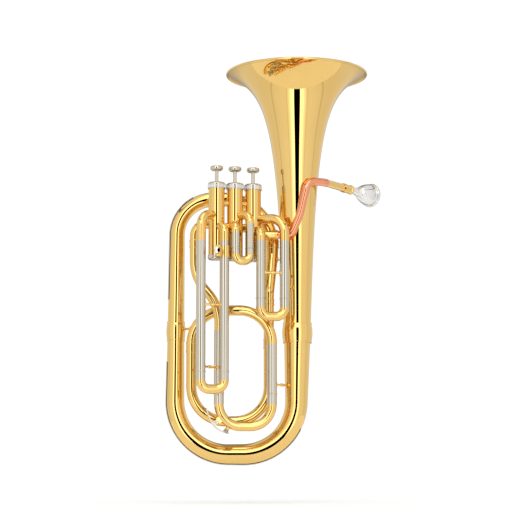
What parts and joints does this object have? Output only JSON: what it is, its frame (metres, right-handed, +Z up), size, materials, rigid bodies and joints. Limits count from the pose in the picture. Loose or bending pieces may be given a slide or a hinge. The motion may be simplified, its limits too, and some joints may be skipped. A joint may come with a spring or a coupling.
{
  "type": "euphonium",
  "caption": "Upright piston-valve brass horn of conical tube with a flared bell, pull-out tuning slides, sprung valves, a water key and a cup mouthpiece.",
  "frame": {"origin": "the lowest point of the bottom bow's guard, in the plane of the big tubing, midway across the bell's mouth from front to back", "axes": "+Z up along the bell's axis, towards its mouth; +X from the valve side's left legs towards the bell; +Y from the valves towards the back of the bell"},
  "size_m": [0.3511, 0.231, 0.6363],
  "materials": {
    "lacquered_brass": "polished yellow brass under clear lacquer",
    "gold_brass": "polished copper-rich brass under clear lacquer",
    "nickel_silver": "polished nickel silver, slightly warm",
    "silver_plate": "bright silver plate",
    "spring_steel": "drawn steel wire and turned steel",
    "felt": "pressed wool felt",
    "cork": "fine natural cork"
  },
  "bodies": {
    "horn": {"bell_tail": "lacquered_brass", "bell_throat": "lacquered_brass", "bell_flare": "lacquered_brass", "bell_ferrule": "lacquered_brass", "bottom_bow": "lacquered_brass", "bottom_bow_guard": "nickel_silver", "branch_ferrule": "lacquered_brass", "top_bow": "lacquered_brass", "top_bow_guard": "nickel_silver", "small_branch": "lacquered_brass", "riser_tube": "lacquered_brass", "return_bow": "lacquered_brass", "return_arch": "lacquered_brass", "tube_ferrules": "lacquered_brass", "main_slide_outer_tubes": "nickel_silver", "exit_tube": "lacquered_brass", "valve_top_caps": "nickel_silver", "valve_bottom_caps": "nickel_silver", "cap_felts": "felt", "valve_knuckles": "lacquered_brass", "leadpipe": "gold_brass", "mouthpiece_receiver": "lacquered_brass", "tube_braces": "lacquered_brass", "lyre_holder": "lacquered_brass", "valve_casing_1": "lacquered_brass", "valve_spring_1": "spring_steel", "slide_1_outer_tubes": "nickel_silver", "slide_1_elbows": "lacquered_brass", "valve_casing_2": "lacquered_brass", "valve_spring_2": "spring_steel", "slide_2_outer_tubes": "nickel_silver", "slide_2_elbows": "lacquered_brass", "valve_casing_3": "lacquered_brass", "valve_spring_3": "spring_steel", "slide_3_outer_tubes": "nickel_silver", "slide_3_elbows": "lacquered_brass"},
    "valve_1": {"valve_piston_1": "nickel_silver", "valve_stem_1": "nickel_silver", "finger_button_1": "nickel_silver"},
    "valve_2": {"valve_piston_2": "nickel_silver", "valve_stem_2": "nickel_silver", "finger_button_2": "nickel_silver"},
    "valve_3": {"valve_piston_3": "nickel_silver", "valve_stem_3": "nickel_silver", "finger_button_3": "nickel_silver"},
    "slide_1": {"slide_1_bow": "lacquered_brass", "slide_1_inner_legs": "nickel_silver"},
    "slide_2": {"slide_2_bow": "lacquered_brass", "slide_2_inner_legs": "nickel_silver"},
    "slide_3": {"slide_3_bow": "lacquered_brass", "slide_3_inner_legs": "nickel_silver"},
    "main_slide": {"main_slide_bow": "lacquered_brass", "main_slide_inner_legs": "nickel_silver", "water_key_saddle": "lacquered_brass", "water_key_nipple": "lacquered_brass", "water_key_pin": "spring_steel"},
    "water_key": {"water_key_lever": "nickel_silver", "water_key_cork": "cork"},
    "mouthpiece": {"mouthpiece": "silver_plate"},
    "lyre_screw": {"lyre_screw": "nickel_silver"}
  },
  "joints": [
    {"name": "valve_1_press", "type": "slide", "parent": "horn", "child": "valve_1", "axis": [0, 0, -1], "range_m": [0, 0.0175], "stiffness_N_per_m": 150, "springref_m": -0.012, "deforming": ["valve_spring_1"]},
    {"name": "valve_2_press", "type": "slide", "parent": "horn", "child": "valve_2", "axis": [0, 0, -1], "range_m": [0, 0.0175], "stiffness_N_per_m": 150, "springref_m": -0.012, "deforming": ["valve_spring_2"]},
    {"name": "valve_3_press", "type": "slide", "parent": "horn", "child": "valve_3", "axis": [0, 0, -1], "range_m": [0, 0.0175], "stiffness_N_per_m": 150, "springref_m": -0.012, "deforming": ["valve_spring_3"]},
    {"name": "slide_1_pull", "type": "slide", "parent": "horn", "child": "slide_1", "axis": [0, 0, -1], "range_m": [0, 0.07]},
    {"name": "slide_2_pull", "type": "slide", "parent": "horn", "child": "slide_2", "axis": [0, 0, -1], "range_m": [0, 0.02]},
    {"name": "slide_3_pull", "type": "slide", "parent": "horn", "child": "slide_3", "axis": [0, 0, -1], "range_m": [0, 0.1]},
    {"name": "main_slide_pull", "type": "slide", "parent": "horn", "child": "main_slide", "axis": [0, 0, -1], "range_m": [0, 0.06]},
    {"name": "water_key_hinge", "type": "hinge", "parent": "main_slide", "child": "water_key", "pos_m": [-0.02997, -0.0425, 0.06802], "axis": [-0.1424, 0.9898, 0], "range_deg": [0, 20], "stiffness_Nm_per_rad": 0.03, "springref_deg": -17.19},
    {"name": "mouthpiece_pull", "type": "slide", "parent": "horn", "child": "mouthpiece", "axis": [0.6438, 0.7641, -0.041], "range_m": [0, 0.03]},
    {"name": "lyre_screw_turn", "type": "hinge", "parent": "horn", "child": "lyre_screw", "pos_m": [-0.02783, -0.07778, 0.334], "axis": [-0.1191, -0.9929, 0], "continuous": true}
  ]
}
